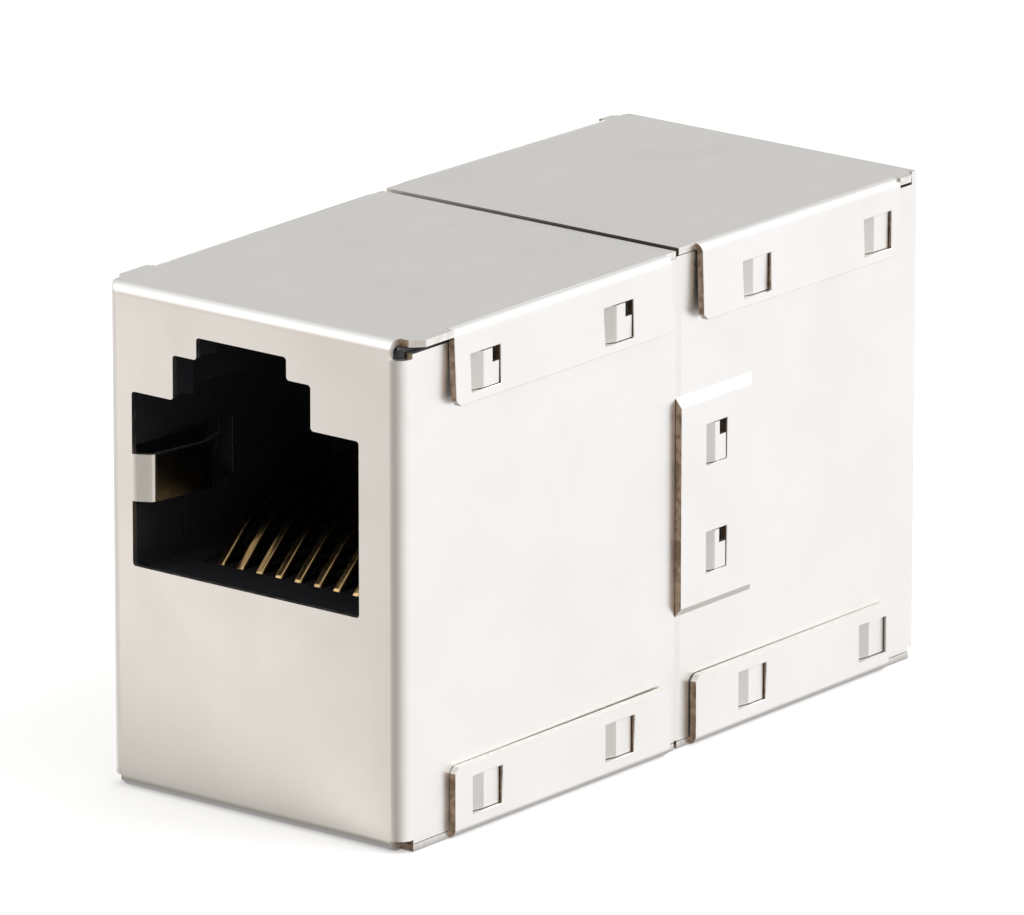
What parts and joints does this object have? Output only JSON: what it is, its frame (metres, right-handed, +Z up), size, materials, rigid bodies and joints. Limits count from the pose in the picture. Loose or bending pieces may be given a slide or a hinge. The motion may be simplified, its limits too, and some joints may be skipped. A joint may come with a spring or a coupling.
{
  "type": "inline network coupler",
  "caption": "Shielded inline coupler that joins network patch cables end to end: a folded metal case with a plug port in each end face.",
  "frame": {"origin": "middle of the underside, half way between the two port faces", "axes": "+Y from the front port to the rear port, +Z up, +X to the right when looking into the front port"},
  "size_m": [0.0164, 0.035, 0.0215],
  "materials": {
    "shield_metal": "satin nickel plate on sheet steel, with bare brownish sheared edges",
    "housing_plastic": "black moulded plastic",
    "carrier_plastic": "black moulded plastic",
    "contact_gold": "gold plate on a copper alloy spring",
    "board_laminate": "green glass laminate",
    "tray_plastic": "black moulded plastic"
  },
  "bodies": {
    "root": {"front_shield_shell": "shield_metal", "rear_shield_shell": "shield_metal", "front_jack_housing": "housing_plastic", "rear_jack_housing": "housing_plastic", "front_contact_carrier": "carrier_plastic", "rear_contact_carrier": "carrier_plastic", "circuit_board": "board_laminate", "board_tray": "tray_plastic", "front_contact_1": "contact_gold", "front_contact_2": "contact_gold", "front_contact_3": "contact_gold", "front_contact_4": "contact_gold", "front_contact_5": "contact_gold", "front_contact_6": "contact_gold", "front_contact_7": "contact_gold", "front_contact_8": "contact_gold", "rear_contact_1": "contact_gold", "rear_contact_2": "contact_gold", "rear_contact_3": "contact_gold", "rear_contact_4": "contact_gold", "rear_contact_5": "contact_gold", "rear_contact_6": "contact_gold", "rear_contact_7": "contact_gold", "rear_contact_8": "contact_gold"}
  },
  "joints": []
}
